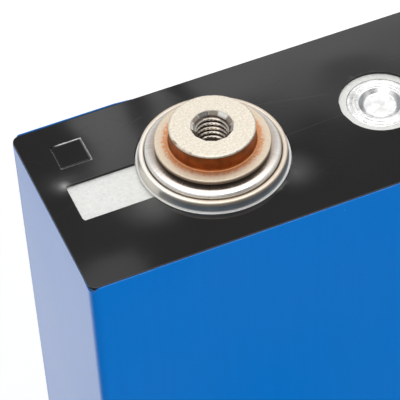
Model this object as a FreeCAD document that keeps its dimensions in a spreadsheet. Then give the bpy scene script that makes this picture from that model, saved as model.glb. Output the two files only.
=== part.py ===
import FreeCAD, Part
import math
import os
import re
import Sketcher

# Prismatic lithium iron phosphate cell, 130 x 36 x 200.5 mm over its studs, as separate pieces.
# Frame: origin at the centre of the underside, +X along the 130 mm side towards the positive stud,
# +Y through the 36 mm thickness towards the back, +Z up. Millimetres.
# Levels in the profiles are heights above the underside. Round pieces are drawn about their own axis,
# and the placement of each body carries them to the stud, the vent or the filling hole.

SIZES = [
    # envelope
    ("cell_length", 130.0, "over the side film, along X"),
    ("cell_thickness", 36.0, "over the side film, along Y"),
    ("sheet_top", 193.4, "upper face of the top sheet"),
    ("corner_radius", 1.6, "upright corners, over the side film"),
    ("film_thickness", 0.25, "side film and bottom film"),
    ("film_rise", 0.1, "side film above the top sheet"),
    # can and lid
    ("can_wall", 0.8, "can, sides"),
    ("can_floor", 1.2, "can, underside"),
    ("lid_thickness", 2.5, "lid plate"),
    # top sheet
    ("sheet_thickness", 0.5, "top sheet"),
    ("sheet_gap", 0.05, "top sheet inside the side film"),
    ("stud_hole", 12.6, "radius of the sheet's hole round each stud"),
    ("window_end", 60.7, "far end of the sheet's oblong windows, from the middle"),
    ("window_width", 8.1, "oblong windows, along Y"),
    ("square_hole", 5.2, "side of the sheet's small square cut"),
    ("square_gap", 0.15, "cut line round the loose square"),
    ("square_from_middle", 57.3, "centre of the square, towards -X"),
    ("square_from_axis", 10.4, "centre of the square, towards +Y"),
    # studs
    ("stud_spacing", 73.8, "between the two stud axes"),
    ("boss_radius", 6.95, "raised middle of the stud"),
    ("boss_height", 7.1, "top of the boss above the sheet"),
    ("boss_bevel", 0.2, "bevel on the boss"),
    ("flange_radius", 9.35, "flange of the stud"),
    ("flange_under", 3.4, "underside of the flange above the sheet"),
    ("flange_thickness", 0.7, "flange of the stud"),
    ("shank_radius", 5.0, "stud through the lid"),
    ("thread_radius", 2.5, "M6 tapping radius"),
    ("mouth_radius", 3.5, "outer edge of the thread's countersink"),
    ("thread_depth", 7.2, "full-width hole below the boss's top"),
    ("drill_point", 1.5, "cone under the hole"),
    ("rivet_neck", 3.4, "stud through the collector plate"),
    ("rivet_head", 4.6, "spread end under the collector plate"),
    ("rivet_thickness", 0.8, "spread end"),
    # seals round the studs
    ("collar_foot", 12.5, "collar at the lid"),
    ("collar_foot_rise", 0.1, "top of the collar's foot above the sheet"),
    ("collar_base", 12.35, "collar wall at its base"),
    ("collar_outer", 11.9, "collar wall under the bead"),
    ("collar_inner", 11.25, "bore of the collar"),
    ("collar_height", 1.9, "top of the bead above the sheet"),
    ("cup_outer", 11.15, "polished cup"),
    ("cup_inner", 7.6, "polished cup"),
    ("cup_wall", 0.4, "polished cup"),
    ("cup_rim_height", 2.5, "cup's outer edge above the sheet"),
    ("cup_height", 2.8, "cup under the flange, above the sheet"),
    ("insulator_head", 8.9, "upper insulator under the flange"),
    ("stud_bore", 6.6, "hole in the lid for the stud"),
    ("lower_insulator_length", 34.0, "plate under the lid, along X"),
    ("lower_insulator_width", 26.0, "plate under the lid, along Y"),
    ("lower_insulator_thickness", 1.0, "plate under the lid"),
    # collectors and tabs
    ("collector_thickness", 1.5, "current-collector plates"),
    ("collector_length", 32.0, "current-collector plates, along X"),
    ("collector_width", 22.0, "current-collector plates, along Y"),
    ("collector_outer_end", 9.5, "plate beyond the stud axis, away from the middle"),
    ("tab_thickness", 0.8, "stack of foils"),
    ("tab_width", 14.0, "stack of foils, along X"),
    ("tab_from_stud", 7.0, "stack of foils, from the stud axis towards the middle"),
    ("tab_inner_edge", 1.5, "welded end of the stack, from the middle plane"),
    # vent and filling hole
    ("vent_from_middle", 7.1, "vent towards -X, filling hole towards +X"),
    ("vent_sheet_hole", 6.8, "radius of the sheet's hole over the vent"),
    ("vent_seat", 5.55, "counterbore for the vent disc"),
    ("vent_radius", 5.5, "vent disc"),
    ("vent_thickness", 1.1, "vent disc at its rim"),
    ("vent_bowl", 3.6, "dished part of the disc"),
    ("vent_flat", 2.7, "flat middle of the disc"),
    ("vent_dish", 0.65, "depth of the dish"),
    ("vent_membrane", 0.25, "thickness of the dish"),
    ("vent_hole", 4.7, "hole in the lid under the disc"),
    ("guard_radius", 5.4, "slotted guard under the vent"),
    ("guard_slot", 0.9, "slots of the guard, along X"),
    ("guard_slot_length", 6.0, "slots of the guard, along Y"),
    ("guard_pitch", 2.0, "between the slots"),
    ("fill_sheet_hole", 4.0, "radius of the sheet's hole over the filling hole"),
    ("fill_seat", 3.55, "counterbore for the cap"),
    ("fill_cap_radius", 3.5, "cap"),
    ("fill_cap_thickness", 0.6, "cap"),
    ("fill_hole", 1.5, "filling hole"),
    # inner pieces
    ("frame_length", 126.0, "plastic frame under the lid, along X"),
    ("frame_width", 32.0, "plastic frame under the lid, along Y"),
    ("frame_rim", 4.0, "frame's rim below its plate"),
    ("frame_rim_wall", 1.5, "thickness of that rim"),
    ("bottom_plate_thickness", 2.0, "plastic plate on the can's floor"),
    ("bag_gap", 0.25, "between the can and the bag"),
    ("bag_wall", 0.3, "insulating bag"),
    ("bag_corner", 1.2, "upright corners of the bag"),
    ("bag_height", 179.5, "insulating bag"),
    ("roll_length", 119.6, "jelly roll, along X"),
    ("roll_thickness", 16.1, "jelly roll, along Y"),
    ("roll_height", 174.0, "jelly roll"),
    ("roll_offset", 8.2, "jelly roll's middle from the cell's middle plane"),
    ("winding_gap", 0.8, "slot in the middle of a jelly roll"),
    ("spacer_thickness", 3.0, "plates at the ends of the rolls"),
    ("spacer_width", 31.6, "plates at the ends of the rolls"),
    ("tape_length", 30.0, "tape along X"),
    ("tape_width", 18.0, "tape along Z"),
    ("tape_thickness", 0.1, "tape"),
    ("tape_pitch", 55.0, "between tapes up a roll"),
]

doc = FreeCAD.newDocument("PrismaticCell")
sheet = doc.addObject("Spreadsheet::Sheet", "Sizes")
for row, (alias, number, meaning) in enumerate(SIZES, start=1):
    sheet.set(f"A{row}", str(number))
    sheet.setAlias(f"A{row}", alias)
    sheet.set(f"B{row}", meaning)
doc.recompute()

ruler = doc.addObject("App::VarSet", "Ruler")
ruler.addProperty("App::PropertyFloat", "Reading")

ALIASES = {alias for alias, _, _ in SIZES}

# levels that several pieces share, written in the sheet's names
LID_TOP = "(sheet_top - sheet_thickness)"
LID_UNDER = "(sheet_top - sheet_thickness - lid_thickness)"
COLLECTOR_TOP = f"({LID_UNDER} - lower_insulator_thickness)"
COLLECTOR_UNDER = f"({COLLECTOR_TOP} - collector_thickness)"
CAN_LENGTH = "(cell_length - 2 * film_thickness)"
CAN_WIDTH = "(cell_thickness - 2 * film_thickness)"
CAN_CORNER = "(corner_radius - film_thickness)"
INSIDE_LENGTH = f"({CAN_LENGTH} - 2 * can_wall)"
INSIDE_WIDTH = f"({CAN_WIDTH} - 2 * can_wall)"
INSIDE_CORNER = f"({CAN_CORNER} - can_wall)"
FLOOR_TOP = "(film_thickness + can_floor)"
BAG_UNDER = f"({FLOOR_TOP} + bottom_plate_thickness)"
ROLL_UNDER = f"({BAG_UNDER} + bag_wall)"
STUD_X = "(stud_spacing / 2)"

nodes = []


def formula(text):
    """The expression that FreeCAD reads: each name of the sheet gets the sheet's own name before it."""
    return re.sub(r"[a-z_]+", lambda word: "Sizes." + word[0] if word[0] in ALIASES else word[0], text)


def bind(thing, prop, text):
    thing.setExpression(prop, formula(text))


def measure(text):
    """The number that a formula of the sheet's names gives."""
    ruler.setExpression("Reading", formula(text))
    ruler.recompute()
    return ruler.Reading


def new_body(label, x="0", y="0"):
    """A body for one piece, placed along X and Y by sizes of the sheet."""
    body = doc.addObject("PartDesign::Body", label)
    body.Label = label
    body.AllowCompound = True
    bind(body, "Placement.Base.x", x)
    bind(body, "Placement.Base.y", y)
    nodes.append(body)
    return body


def new_sketch(body, role, level=None):
    """A sketch on one of the body's own origin planes, raised to a level of the sheet."""
    plane = next(part for part in body.Origin.OriginFeatures if part.Role == role)
    sketch = body.newObject("Sketcher::SketchObject", body.Label + "_sketch")
    sketch.AttachmentSupport = [(plane, "")]
    sketch.MapMode = "FlatFace"
    if level:
        bind(sketch, "AttachmentOffset.Base.z", level)
    return sketch


def hold(sketch, geometry, vertex, x, y):
    """Two bound distances from the sketch's origin fix one point."""
    for kind, text in (("DistanceX", x), ("DistanceY", y)):
        limit = Sketcher.Constraint(kind, -1, 1, geometry, vertex, measure(text))
        bind(sketch, f"Constraints[{sketch.addConstraint(limit)}]", text)


def hold_radius(sketch, geometry, text):
    limit = Sketcher.Constraint("Radius", geometry, measure(text))
    bind(sketch, f"Constraints[{sketch.addConstraint(limit)}]", text)


def add_loop(sketch, corners):
    """A closed loop of straight lines through corners given as pairs of formulas."""
    first = sketch.GeometryCount
    count = len(corners)
    points = [FreeCAD.Vector(measure(x), measure(y), 0) for x, y in corners]
    for i in range(count):
        sketch.addGeometry(Part.LineSegment(points[i], points[(i + 1) % count]), False)
    for i in range(count):
        following = first + (i + 1) % count
        sketch.addConstraint(Sketcher.Constraint("Coincident", first + i, 2, following, 1))
    for i in range(count):
        hold(sketch, first + i, 1, *corners[i])


def add_rectangle(sketch, length, width, x="0", y="0"):
    left, right = f"{x} - {length} / 2", f"{x} + {length} / 2"
    low, high = f"{y} - {width} / 2", f"{y} + {width} / 2"
    add_loop(sketch, [(left, low), (right, low), (right, high), (left, high)])


def add_rounded_rectangle(sketch, length, width, corner, x="0"):
    """A rectangle with round corners: four arcs held by centre and radius, and lines tangent to them."""
    first = sketch.GeometryCount
    quarters = ((1, 1), (-1, 1), (-1, -1), (1, -1))
    radius = measure(corner)
    centres = []
    for side_x, side_y in quarters:
        centres.append((f"{x} + {side_x} * ({length} / 2 - {corner})",
                        f"{side_y} * ({width} / 2 - {corner})"))
    arcs = []
    for i, (along, across) in enumerate(centres):
        centre = FreeCAD.Vector(measure(along), measure(across), 0)
        circle = Part.Circle(centre, FreeCAD.Vector(0, 0, 1), radius)
        arcs.append(Part.ArcOfCircle(circle, i * math.pi / 2, (i + 1) * math.pi / 2))
        sketch.addGeometry(arcs[-1], False)
    for i in range(4):
        sketch.addGeometry(Part.LineSegment(arcs[i].EndPoint, arcs[(i + 1) % 4].StartPoint), False)
    for i in range(4):
        line = first + 4 + i
        sketch.addConstraint(Sketcher.Constraint("Tangent", first + i, 2, line, 1))
        sketch.addConstraint(Sketcher.Constraint("Tangent", line, 2, first + (i + 1) % 4, 1))
    for i, (along, across) in enumerate(centres):
        hold(sketch, first + i, 3, along, across)
        hold_radius(sketch, first + i, corner)


def add_circle(sketch, radius, x="0", y="0"):
    centre = FreeCAD.Vector(measure(x), measure(y), 0)
    circle = Part.Circle(centre, FreeCAD.Vector(0, 0, 1), measure(radius))
    index = sketch.addGeometry(circle, False)
    hold(sketch, index, 3, x, y)
    hold_radius(sketch, index, radius)


def pad(body, sketch, height):
    feature = body.newObject("PartDesign::Pad", body.Label + "_pad")
    feature.Profile = sketch
    bind(feature, "Length", height)
    doc.recompute()
    return feature


def pocket(body, sketch, depth=None, upward=False):
    """Cuts a sketch out, downwards unless told otherwise, and makes sure that something went."""
    before = body.Shape.Volume
    feature = body.newObject("PartDesign::Pocket", body.Label + "_pocket")
    feature.Profile = sketch
    feature.Reversed = upward
    if depth:
        bind(feature, "Length", depth)
    else:
        feature.Type = "ThroughAll"
    doc.recompute()
    if body.Shape.Volume > before - 1e-3:
        raise RuntimeError(f"{feature.Label} cuts nothing")
    return feature


def turn(body, profile):
    """A round piece: its half section, in radius and level, turned about the body's upright axis."""
    sketch = new_sketch(body, "XZ_Plane")
    add_loop(sketch, profile)
    feature = body.newObject("PartDesign::Revolution", body.Label + "_turned")
    feature.Profile = sketch
    feature.ReferenceAxis = (sketch, ["V_Axis"])
    feature.Angle = 360.0
    doc.recompute()
    return feature


def round_edges(body, radius, wanted, kind="PartDesign::Fillet"):
    """Rounds or bevels the edges of the body's tip that wanted() picks."""
    tip = body.Tip
    names = [f"Edge{i}" for i, edge in enumerate(tip.Shape.Edges, start=1) if wanted(edge)]
    if not names:
        raise RuntimeError(f"{body.Label} has no such edge")
    feature = body.newObject(kind, body.Label + "_edges")
    feature.Base = (tip, names)
    bind(feature, "Radius" if kind.endswith("Fillet") else "Size", radius)
    doc.recompute()
    return feature


def circle_edge(radius, level):
    """Picks the round edge of this radius at this height."""
    size, height = measure(radius), measure(level)

    def wanted(edge):
        curve = edge.Curve
        if not isinstance(curve, Part.Circle):
            return False
        return abs(curve.Radius - size) < 1e-3 and abs(curve.Center.z - height) < 1e-3

    return wanted


def rounded_block(label, length, width, corner, low, height):
    """A block with rounded upright corners, standing at a level."""
    body = new_body(label)
    sketch = new_sketch(body, "XY_Plane", low)
    add_rounded_rectangle(sketch, length, width, corner)
    pad(body, sketch, height)
    return body


def hollow_out(body, length, width, corner, low, height):
    """Empties a block from a level upwards, leaving rounded corners inside."""
    sketch = new_sketch(body, "XY_Plane", low)
    add_rounded_rectangle(sketch, length, width, corner)
    pocket(body, sketch, height, upward=True)


def side_film():
    """Blue film round the four sides, standing a little above the top sheet."""
    height = "sheet_top + film_rise - film_thickness"
    body = rounded_block("side_film", "cell_length", "cell_thickness", "corner_radius",
                         "film_thickness", height)
    hollow_out(body, CAN_LENGTH, CAN_WIDTH, CAN_CORNER, "film_thickness", height)


def bottom_film():
    """Blue sheet under the can; the cell stands on it."""
    rounded_block("bottom_film", "cell_length", "cell_thickness", "corner_radius", "0", "film_thickness")


def can():
    """Deep-drawn aluminium can, open at the top, flush there with the lid."""
    body = rounded_block("can", CAN_LENGTH, CAN_WIDTH, CAN_CORNER, "film_thickness",
                         f"{LID_TOP} - film_thickness")
    hollow_out(body, INSIDE_LENGTH, INSIDE_WIDTH, INSIDE_CORNER, FLOOR_TOP, f"{LID_TOP} - {FLOOR_TOP}")


def lid_plate():
    """Aluminium lid welded into the can's mouth, with holes for studs, vent and filling."""
    body = rounded_block("lid_plate", INSIDE_LENGTH, INSIDE_WIDTH, INSIDE_CORNER,
                         LID_UNDER, "lid_thickness")
    holes = new_sketch(body, "XY_Plane", LID_TOP)
    add_circle(holes, "stud_bore", x=f"-{STUD_X}")
    add_circle(holes, "stud_bore", x=STUD_X)
    add_circle(holes, "vent_hole", x="-vent_from_middle")
    add_circle(holes, "fill_hole", x="vent_from_middle")
    pocket(body, holes)
    vent_seat = new_sketch(body, "XY_Plane", LID_TOP)
    add_circle(vent_seat, "vent_seat", x="-vent_from_middle")
    pocket(body, vent_seat, "vent_thickness")
    cap_seat = new_sketch(body, "XY_Plane", LID_TOP)
    add_circle(cap_seat, "fill_seat", x="vent_from_middle")
    pocket(body, cap_seat, "fill_cap_thickness")


def top_sheet():
    """Black sheet stuck on the lid, cut out round the studs, windows, vent, filling hole and square."""
    body = rounded_block("top_sheet", f"({CAN_LENGTH} - 2 * sheet_gap)", f"({CAN_WIDTH} - 2 * sheet_gap)",
                         f"({CAN_CORNER} - sheet_gap)", LID_TOP, "sheet_thickness")
    for side in ("-1", "1"):
        ring = new_sketch(body, "XY_Plane", "sheet_top")
        add_circle(ring, "stud_hole", x=f"{side} * {STUD_X}")
        pocket(body, ring)
        window = new_sketch(body, "XY_Plane", "sheet_top")
        add_rectangle(window, f"(window_end - {STUD_X})", "window_width",
                      x=f"{side} * (window_end + {STUD_X}) / 2")
        pocket(body, window)
    small = new_sketch(body, "XY_Plane", "sheet_top")
    add_circle(small, "vent_sheet_hole", x="-vent_from_middle")
    add_circle(small, "fill_sheet_hole", x="vent_from_middle")
    add_rectangle(small, "square_hole", "square_hole", x="-square_from_middle", y="square_from_axis")
    pocket(body, small)


def sheet_square():
    """The small square left lying in its cut in the top sheet."""
    body = new_body("sheet_square", "-square_from_middle", "square_from_axis")
    sketch = new_sketch(body, "XY_Plane", LID_TOP)
    side = "(square_hole - 2 * square_gap)"
    add_rectangle(sketch, side, side)
    pad(body, sketch, "sheet_thickness")


def stud(label, x):
    """Threaded stud: boss, flange, shank through the lid and an end riveted under the collector."""
    body = new_body(label, x)
    top = "(sheet_top + boss_height)"
    under = "(sheet_top + flange_under)"
    mouth = f"{top} - (mouth_radius - thread_radius)"
    floor = f"{top} - thread_depth"
    turn(body, [
        ("0", f"{COLLECTOR_UNDER} - rivet_thickness"),
        ("rivet_head", f"{COLLECTOR_UNDER} - rivet_thickness"),
        ("rivet_head", COLLECTOR_UNDER),
        ("rivet_neck", COLLECTOR_UNDER),
        ("rivet_neck", COLLECTOR_TOP),
        ("shank_radius", COLLECTOR_TOP),
        ("shank_radius", under),
        ("flange_radius", under),
        ("flange_radius", f"{under} + flange_thickness"),
        ("boss_radius", f"{under} + flange_thickness"),
        ("boss_radius", top),
        ("mouth_radius", top),
        ("thread_radius", mouth),
        ("thread_radius", floor),
        ("0", f"{floor} - drill_point"),
    ])
    round_edges(body, "boss_bevel", circle_edge("boss_radius", top), "PartDesign::Chamfer")
    round_edges(body, "flange_thickness * 0.4", circle_edge("flange_radius", f"{under} + flange_thickness"))


def collar(label, x):
    """Collar welded to the lid round a stud: thin foot, steep wall and a bead on top."""
    body = new_body(label, x)
    foot = "(sheet_top + collar_foot_rise)"
    top = "(sheet_top + collar_height)"
    turn(body, [
        ("collar_inner", LID_TOP),
        ("collar_foot", LID_TOP),
        ("collar_foot", foot),
        ("collar_base", foot),
        ("collar_outer", top),
        ("collar_inner", top),
    ])
    round_edges(body, "(collar_outer - collar_inner) * 0.4", circle_edge("collar_outer", top))
    round_edges(body, "(collar_outer - collar_inner) * 0.4", circle_edge("collar_inner", top))


def seal_cup(label, x):
    """Polished metal cup: an upturned channel ring that closes the joint round the insulator."""
    body = new_body(label, x)
    rim = "(sheet_top + cup_rim_height)"
    crown = "(sheet_top + cup_height)"
    turn(body, [
        ("cup_inner", LID_TOP),
        ("cup_inner + cup_wall", LID_TOP),
        ("cup_inner + cup_wall", f"{crown} - cup_wall"),
        ("cup_outer - cup_wall", f"{rim} - cup_wall"),
        ("cup_outer - cup_wall", LID_TOP),
        ("cup_outer", LID_TOP),
        ("cup_outer", rim),
        ("cup_inner", crown),
    ])
    round_edges(body, "cup_wall * 0.7", circle_edge("cup_outer", rim))


def upper_insulator(label, x):
    """Insulating ring between the stud's flange, the cup and the lid."""
    body = new_body(label, x)
    turn(body, [
        ("shank_radius", LID_TOP),
        ("cup_inner", LID_TOP),
        ("cup_inner", "sheet_top + cup_height"),
        ("insulator_head", "sheet_top + cup_height"),
        ("insulator_head", "sheet_top + flange_under"),
        ("shank_radius", "sheet_top + flange_under"),
    ])


def seal_ring(label, x):
    """Rubber sleeve squeezed between the stud's shank and the lid."""
    body = new_body(label, x)
    turn(body, [
        ("shank_radius", LID_UNDER),
        ("stud_bore", LID_UNDER),
        ("stud_bore", LID_TOP),
        ("shank_radius", LID_TOP),
    ])


def lower_insulator(label, x):
    """Plastic plate between the lid and the collector plate."""
    body = new_body(label, x)
    sketch = new_sketch(body, "XY_Plane", COLLECTOR_TOP)
    add_rounded_rectangle(sketch, "lower_insulator_length", "lower_insulator_width", "corner_radius")
    add_circle(sketch, "shank_radius")
    pad(body, sketch, "lower_insulator_thickness")


def collector(label, side):
    """Metal plate riveted to the stud; it reaches towards the middle, where the tabs are welded."""
    body = new_body(label, f"{side} * {STUD_X}")
    sketch = new_sketch(body, "XY_Plane", COLLECTOR_UNDER)
    middle = f"{side} * (collector_outer_end - collector_length / 2)"
    add_rounded_rectangle(sketch, "collector_length", "collector_width", "corner_radius", x=middle)
    add_circle(sketch, "rivet_neck")
    pad(body, sketch, "collector_thickness")


def tabs(label, side):
    """Two stacks of foils, one from each roll, bent in under the collector plate and welded to it."""
    body = new_body(label, f"{side} * {STUD_X}")
    inner = f"-({side} * (tab_from_stud + tab_width / 2)) - tab_width / 2"
    sketch = new_sketch(body, "YZ_Plane", inner)
    top_of_roll = f"{ROLL_UNDER} + roll_height"
    bend = f"{COLLECTOR_UNDER} - tab_thickness"
    for y in ("-1", "1"):
        outer = f"{y} * (roll_offset + tab_thickness / 2)"
        near = f"{y} * (roll_offset - tab_thickness / 2)"
        add_loop(sketch, [
            (outer, top_of_roll), (outer, COLLECTOR_UNDER), (f"{y} * tab_inner_edge", COLLECTOR_UNDER),
            (f"{y} * tab_inner_edge", bend), (near, bend), (near, top_of_roll),
        ])
    pad(body, sketch, "tab_width")


def vent_disc():
    """Burst disc: a flat rim welded into the lid and a thin dished membrane."""
    body = new_body("vent_disc", "-vent_from_middle")
    dish = f"{LID_TOP} - vent_dish"
    turn(body, [
        ("0", f"{dish} - vent_membrane"),
        ("vent_flat", f"{dish} - vent_membrane"),
        ("vent_bowl", f"{LID_TOP} - vent_thickness"),
        ("vent_radius", f"{LID_TOP} - vent_thickness"),
        ("vent_radius", LID_TOP),
        ("vent_bowl", LID_TOP),
        ("vent_flat", dish),
        ("0", dish),
    ])


def vent_guard():
    """Slotted plastic guard that keeps the rolls off the burst disc."""
    body = new_body("vent_guard", "-vent_from_middle")
    sketch = new_sketch(body, "XY_Plane", COLLECTOR_TOP)
    add_circle(sketch, "guard_radius")
    pad(body, sketch, "lower_insulator_thickness")
    slot = new_sketch(body, "XY_Plane", LID_UNDER)
    add_rectangle(slot, "guard_slot", "guard_slot_length", x="-guard_pitch")
    cut = pocket(body, slot)
    row = body.newObject("PartDesign::LinearPattern", "vent_guard_slots")
    row.Originals = [cut]
    row.Direction = (slot, ["H_Axis"])
    bind(row, "Length", "2 * guard_pitch")
    row.Occurrences = 3
    body.Tip = row
    doc.recompute()


def fill_plug():
    """Rubber plug in the filling hole."""
    body = new_body("fill_plug", "vent_from_middle")
    turn(body, [
        ("0", LID_UNDER),
        ("fill_hole", LID_UNDER),
        ("fill_hole", f"{LID_TOP} - fill_cap_thickness"),
        ("0", f"{LID_TOP} - fill_cap_thickness"),
    ])


def fill_cap():
    """Aluminium cap welded over the plug, flush with the lid."""
    body = new_body("fill_cap", "vent_from_middle")
    turn(body, [
        ("0", f"{LID_TOP} - fill_cap_thickness"),
        ("fill_cap_radius", f"{LID_TOP} - fill_cap_thickness"),
        ("fill_cap_radius", LID_TOP),
        ("0", LID_TOP),
    ])


def inner_lid_frame():
    """Plastic frame under the lid, open at the studs and the vent, with a rim that turns down."""
    body = rounded_block("inner_lid_frame", "frame_length", "frame_width", INSIDE_CORNER,
                         f"{COLLECTOR_TOP} - frame_rim", "frame_rim + lower_insulator_thickness")
    inside = new_sketch(body, "XY_Plane", f"{COLLECTOR_TOP} - frame_rim")
    add_rectangle(inside, "(frame_length - 2 * frame_rim_wall)", "(frame_width - 2 * frame_rim_wall)")
    pocket(body, inside, "frame_rim", upward=True)
    openings = new_sketch(body, "XY_Plane", LID_UNDER)
    for side in ("-1", "1"):
        add_rounded_rectangle(openings, "lower_insulator_length", "lower_insulator_width",
                              "corner_radius", x=f"{side} * {STUD_X}")
    add_circle(openings, "guard_radius", x="-vent_from_middle")
    add_circle(openings, "fill_hole", x="vent_from_middle")
    pocket(body, openings)


def insulating_bag():
    """Plastic bag round both rolls, open at the top."""
    length = f"({INSIDE_LENGTH} - 2 * bag_gap)"
    width = f"({INSIDE_WIDTH} - 2 * bag_gap)"
    body = rounded_block("insulating_bag", length, width, "bag_corner", BAG_UNDER, "bag_height")
    hollow_out(body, f"({length} - 2 * bag_wall)", f"({width} - 2 * bag_wall)", "(bag_corner - bag_wall)",
               ROLL_UNDER, "bag_height - bag_wall")


def bottom_plate():
    """Plastic plate that keeps the bag off the can's floor."""
    rounded_block("bottom_plate", f"({INSIDE_LENGTH} - 2 * bag_gap)", f"({INSIDE_WIDTH} - 2 * bag_gap)",
                  INSIDE_CORNER, FLOOR_TOP, "bottom_plate_thickness")


def jelly_roll(label, side):
    """Flat-wound roll of electrodes and separator, upright, with the slot its winding blade leaves."""
    body = new_body(label, y=f"{side} * roll_offset")
    outline = new_sketch(body, "XY_Plane", ROLL_UNDER)
    add_rounded_rectangle(outline, "roll_length", "roll_thickness", "(roll_thickness * 0.45)")
    pad(body, outline, "roll_height")
    slot = new_sketch(body, "XY_Plane", f"{ROLL_UNDER} + roll_height")
    add_rectangle(slot, "(roll_length - roll_thickness)", "winding_gap")
    pocket(body, slot)


def end_spacer(label, side):
    """Plate between the rolls' round ends and the bag."""
    body = new_body(label, f"{side} * (roll_length + spacer_thickness + 0.4) / 2")
    sketch = new_sketch(body, "XY_Plane", ROLL_UNDER)
    add_rectangle(sketch, "spacer_thickness", "spacer_width")
    pad(body, sketch, "roll_height")


def roll_tapes():
    """Tapes on the broad outer faces of both rolls, three up each roll."""
    strips = []
    for side in (-1, 1):
        for step in (-1, 0, 1):
            strip = doc.addObject("Part::Box", "tape_strip")
            bind(strip, "Length", "tape_length")
            bind(strip, "Width", "tape_thickness")
            bind(strip, "Height", "tape_width")
            bind(strip, "Placement.Base.x", "-tape_length / 2")
            face = "roll_offset + roll_thickness / 2"
            bind(strip, "Placement.Base.y", face if side > 0 else f"-({face} + tape_thickness)")
            middle = f"{ROLL_UNDER} + (roll_height - tape_width) / 2"
            bind(strip, "Placement.Base.z", f"{middle} + {step} * tape_pitch")
            strips.append(strip)
    group = doc.addObject("Part::Compound", "roll_tapes")
    group.Label = "roll_tapes"
    group.Links = strips
    doc.recompute()
    nodes.append(group)



can()
bottom_plate()
insulating_bag()
for roll_name, roll_side in (("front_jelly_roll", "-1"), ("back_jelly_roll", "1")):
    jelly_roll(roll_name, roll_side)
roll_tapes()
for pole, pole_side in (("negative", "-1"), ("positive", "1")):
    at_stud = f"{pole_side} * {STUD_X}"
    end_spacer("left_spacer" if pole_side == "-1" else "right_spacer", pole_side)
    tabs(pole + "_tabs", pole_side)
    collector(pole + "_collector", pole_side)
    lower_insulator(pole + "_lower_insulator", at_stud)
    seal_ring(pole + "_seal_ring", at_stud)
    upper_insulator(pole + "_insulator", at_stud)
    collar(pole + "_collar", at_stud)
    seal_cup(pole + "_seal_cup", at_stud)
    stud(pole + "_terminal", at_stud)
inner_lid_frame()
lid_plate()
vent_guard()
vent_disc()
fill_plug()
fill_cap()
top_sheet()
sheet_square()
side_film()
bottom_film()

doc.recompute()
faults = [thing.Label for thing in doc.Objects if {"Invalid", "Error"} & set(thing.State)]
for node in nodes:
    shape = node.Shape
    if shape.isNull() or not shape.isValid() or not shape.Solids:
        faults.append(node.Label)
if faults:
    raise RuntimeError("these did not build: " + ", ".join(faults))

os.makedirs("parts", exist_ok=True)
for node in nodes:
    node.Shape.exportStep(f"parts/{node.Label}.step")
    box = node.Shape.BoundBox
    print(f"{node.Label:26s} {len(node.Shape.Solids)} solid  {node.Shape.Volume / 1000:9.3f} cm3  "
          f"x {box.XMin:7.2f}..{box.XMax:6.2f}  y {box.YMin:6.2f}..{box.YMax:6.2f}  "
          f"z {box.ZMin:6.2f}..{box.ZMax:6.2f}")
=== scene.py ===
import math

import bpy
import numpy as np
from mathutils import Matrix, Vector
from mathutils.geometry import delaunay_2d_cdt


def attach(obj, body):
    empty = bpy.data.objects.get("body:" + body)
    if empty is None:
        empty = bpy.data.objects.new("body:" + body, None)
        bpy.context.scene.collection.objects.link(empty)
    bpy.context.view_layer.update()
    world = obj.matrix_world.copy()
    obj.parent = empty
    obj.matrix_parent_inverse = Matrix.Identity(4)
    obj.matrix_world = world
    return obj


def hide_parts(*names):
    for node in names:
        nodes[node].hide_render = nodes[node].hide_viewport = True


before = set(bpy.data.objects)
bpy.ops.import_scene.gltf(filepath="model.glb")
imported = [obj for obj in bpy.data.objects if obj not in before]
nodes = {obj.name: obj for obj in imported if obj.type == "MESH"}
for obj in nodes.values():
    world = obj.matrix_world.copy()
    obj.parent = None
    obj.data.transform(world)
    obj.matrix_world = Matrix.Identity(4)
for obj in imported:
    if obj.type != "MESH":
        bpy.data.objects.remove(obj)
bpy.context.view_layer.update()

MM = 0.001


# ---- jelly rolls -----------------------------------------
# Two flat rolls of coated copper and aluminium foil with separator between, wound and pressed side by
# side. The outermost turn is white separator; the ends show the edges of the foils as fine stripes.
FOIL_PITCH = 0.36 * MM
SEPARATOR = (0.86, 0.86, 0.83)
FOIL_EDGE_DARK = (0.05, 0.045, 0.045)
FOIL_EDGE_COPPER = (0.55, 0.30, 0.17)


def new_group(name, inputs, outputs):
    """A shader node group. Its inputs are given with their defaults, numbers or vectors, and its outputs
    by name."""
    group = bpy.data.node_groups.new(name, "ShaderNodeTree")
    for label, default in inputs.items():
        kind = "NodeSocketVector" if isinstance(default, tuple) else "NodeSocketFloat"
        group.interface.new_socket(label, in_out="INPUT", socket_type=kind).default_value = default
    for label in outputs:
        group.interface.new_socket(label, in_out="OUTPUT", socket_type="NodeSocketFloat")
    return group, group.nodes.new("NodeGroupInput").outputs


def add_node(tree, kind, settings=None, inputs=None):
    """A shader node with its settings made and its inputs, by name or number, linked or filled."""
    node = tree.nodes.new(kind)
    for key, value in (settings or {}).items():
        setattr(node, key, value)
    for key, value in (inputs or {}).items():
        if isinstance(value, bpy.types.NodeSocket):
            tree.links.new(value, node.inputs[key])
        else:
            node.inputs[key].default_value = value
    return node


def give(group, *results):
    """Ends a group by filling its outputs in their order."""
    for result, socket in zip(results, group.nodes.new("NodeGroupOutput").inputs):
        group.links.new(result, socket)


def use_group(tree, group, **inputs):
    """The outputs of a group used in a tree. An underscore in an input's name stands for a space."""
    named = {key.replace("_", " "): value for key, value in inputs.items()}
    return add_node(tree, "ShaderNodeGroup", {"node_tree": group}, named).outputs


def home(*values):
    """The node tree of the sockets among the values: the helpers below add their nodes to it."""
    return next(value.id_data for value in values if isinstance(value, bpy.types.NodeSocket))


def maths(operation, *values):
    inputs = dict(enumerate(values))
    return add_node(home(*values), "ShaderNodeMath", {"operation": operation}, inputs).outputs[0]


def vector_maths(operation, *values):
    inputs = dict(enumerate(values))
    return add_node(home(*values), "ShaderNodeVectorMath", {"operation": operation}, inputs).outputs


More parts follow.
